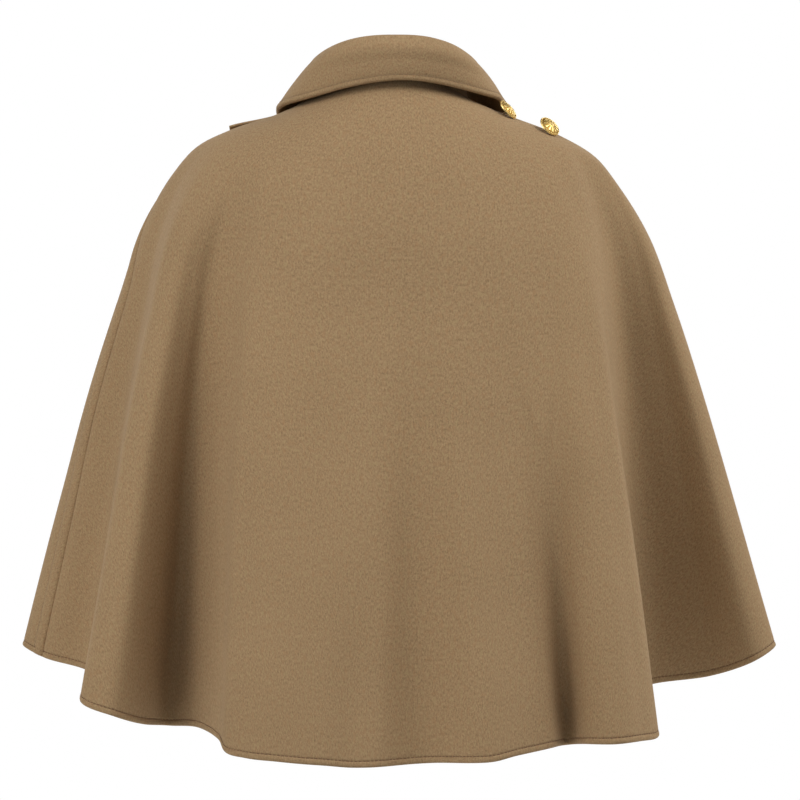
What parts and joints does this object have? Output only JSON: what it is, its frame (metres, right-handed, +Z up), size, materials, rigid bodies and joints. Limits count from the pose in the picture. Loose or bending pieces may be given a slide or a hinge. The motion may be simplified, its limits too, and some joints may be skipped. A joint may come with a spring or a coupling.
{
  "type": "capelet",
  "caption": "Hip-length milled-wool capelet, hollow as worn, with a turned-down collar, lapped fronts, fluted hem, a shoulder tab and domed gilt shank buttons.",
  "frame": {"origin": "middle of the neck, level with the place where the wearer's shoulders meet it; the garment hangs from there", "axes": "+Z up, -Y the way the wearer faces (the picture is taken from +Y, behind), +X the wearer's left"},
  "size_m": [0.6626, 0.4632, 0.614],
  "materials": {
    "wool": "matte milled wool with a short felted nap",
    "gilt": "polished gilt with a relief"
  },
  "bodies": {
    "root": {"back": "wool", "front_left": "wool", "front_right": "wool", "collar": "wool", "shoulder_tab": "wool", "button_1": "gilt", "button_2": "gilt"}
  },
  "joints": []
}
